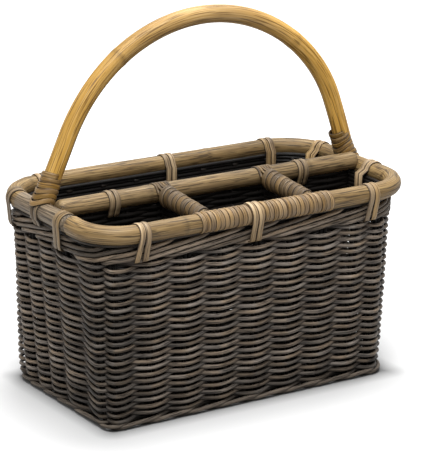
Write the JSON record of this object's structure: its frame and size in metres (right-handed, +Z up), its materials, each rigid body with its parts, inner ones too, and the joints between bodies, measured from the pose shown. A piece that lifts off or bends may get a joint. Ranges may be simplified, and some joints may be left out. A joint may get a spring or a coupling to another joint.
{
  "type": "utensil caddy",
  "caption": "Free-standing woven rattan utensil caddy: tapering basket with pole rim, cane-wrapped divider rails, woven partitions for flatware and napkins, and a fixed hoop handle.",
  "frame": {"origin": "on the floor, under the middle of the caddy's outline", "axes": "+X along the long side towards the right end, -Y towards the front with the three flatware bays, +Z up"},
  "size_m": [0.343, 0.1925, 0.335],
  "materials": {
    "handle": "satin",
    "rim": "satin",
    "cane": "satin",
    "lashing": "satin",
    "weave": "matte",
    "stake": "matte",
    "inner_weave": "matte"
  },
  "bodies": {
    "root": {"handle": "handle", "rim_pole": "rim", "middle_rail": "rim", "left_divider_rail": "rim", "right_divider_rail": "rim", "rim_wrap": "cane", "left_divider_wrap": "cane", "right_divider_wrap": "cane", "left_handle_wrap": "cane", "right_handle_wrap": "cane", "front_lashings": "lashing", "back_lashings": "lashing", "left_lashings": "lashing", "right_lashings": "lashing", "middle_rail_lashings": "lashing", "front_stakes": "stake", "back_stakes": "stake", "left_stakes": "stake", "right_stakes": "stake", "corner_stakes": "stake", "middle_partition_stakes": "stake", "left_partition_stakes": "stake", "right_partition_stakes": "stake", "front_weavers": "weave", "back_weavers": "weave", "left_weavers": "weave", "right_weavers": "weave", "front_left_corner_weavers": "weave", "front_right_corner_weavers": "weave", "back_left_corner_weavers": "weave", "back_right_corner_weavers": "weave", "top_wale": "weave", "base_wale": "weave", "middle_partition_weavers": "inner_weave", "left_partition_weavers": "inner_weave", "right_partition_weavers": "inner_weave", "base_sticks": "inner_weave", "base_weavers": "inner_weave"}
  },
  "joints": []
}
